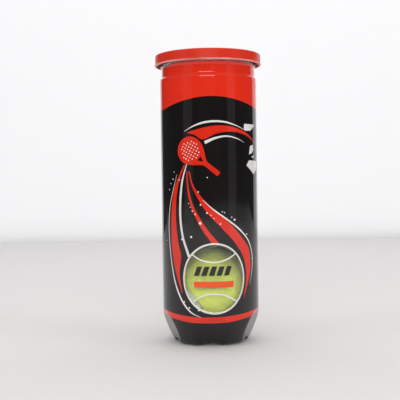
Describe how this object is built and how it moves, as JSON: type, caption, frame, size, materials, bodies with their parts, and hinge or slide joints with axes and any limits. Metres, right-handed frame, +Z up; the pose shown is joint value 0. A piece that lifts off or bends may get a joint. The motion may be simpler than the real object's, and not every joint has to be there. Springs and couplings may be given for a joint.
{
  "type": "sports ball can",
  "caption": "Pressurised clear plastic can with a printed shrink sleeve, petal base, ring-pull end, push-fit overcap and felt-covered balls inside.",
  "frame": {"origin": "centre of the five foot pads, on the ground", "axes": "+Z up along the can's axis, front (the sleeve's window) towards -Y, +X to the right seen from the front"},
  "size_m": [0.0818, 0.0818, 0.2196],
  "materials": {
    "clear_body": "clear gloss plastic",
    "printed_film": "glossy printed shrink film",
    "end_metal": "satin, faint rolling grain",
    "pull_metal": "bright, curled edges",
    "compound": "matt sealing compound",
    "cap_plastic": "moulded, soft gloss",
    "core_rubber": "matt moulded rubber",
    "ball_felt": "brushed wool and nylon felt",
    "seam_cement": "matt vulcanised cement"
  },
  "bodies": {
    "can": {"can_body": "clear_body", "shrink_sleeve": "printed_film", "end_ring": "end_metal", "sealing_compound": "compound"},
    "lid": {"snap_lid": "cap_plastic"},
    "panel": {"tear_panel": "end_metal", "tab_base": "pull_metal"},
    "pull": {"pull_ring": "pull_metal"},
    "ball_bottom": {"bottom_core_a": "core_rubber", "bottom_core_b": "core_rubber", "bottom_felt_a": "ball_felt", "bottom_felt_b": "ball_felt", "bottom_seam": "seam_cement"},
    "ball_middle": {"middle_core_a": "core_rubber", "middle_core_b": "core_rubber", "middle_felt_a": "ball_felt", "middle_felt_b": "ball_felt", "middle_seam": "seam_cement"},
    "ball_top": {"top_core_a": "core_rubber", "top_core_b": "core_rubber", "top_felt_a": "ball_felt", "top_felt_b": "ball_felt", "top_seam": "seam_cement"}
  },
  "joints": [
    {"name": "lid_lift", "type": "slide", "parent": "can", "child": "lid", "axis": [0, 0, 1], "range_m": [0, 0.325]},
    {"name": "panel_lift", "type": "slide", "parent": "can", "child": "panel", "axis": [0, 0, 1], "range_m": [0, 0.28]},
    {"name": "pull_tilt", "type": "hinge", "parent": "panel", "child": "pull", "pos_m": [0, -0.0231, 0.2146], "axis": [1, 0, 0], "range_deg": [0, 70]},
    {"name": "top_ball_lift", "type": "slide", "parent": "can", "child": "ball_top", "axis": [0, 0, 1], "range_m": [0, 0.262]},
    {"name": "middle_ball_lift", "type": "slide", "parent": "can", "child": "ball_middle", "axis": [0, 0, 1], "range_m": [0, 0.24]},
    {"name": "bottom_ball_lift", "type": "slide", "parent": "can", "child": "ball_bottom", "axis": [0, 0, 1], "range_m": [0, 0.218]}
  ],
  "couplings": [
    {"joint": "panel_lift", "follows": "lid_lift", "ratio": 0.86145},
    {"joint": "top_ball_lift", "follows": "lid_lift", "ratio": 0.80607},
    {"joint": "middle_ball_lift", "follows": "lid_lift", "ratio": 0.73839},
    {"joint": "bottom_ball_lift", "follows": "lid_lift", "ratio": 0.6707},
    {"joint": "pull_tilt", "follows": "lid_lift", "rad_per_m": 3.7588}
  ]
}
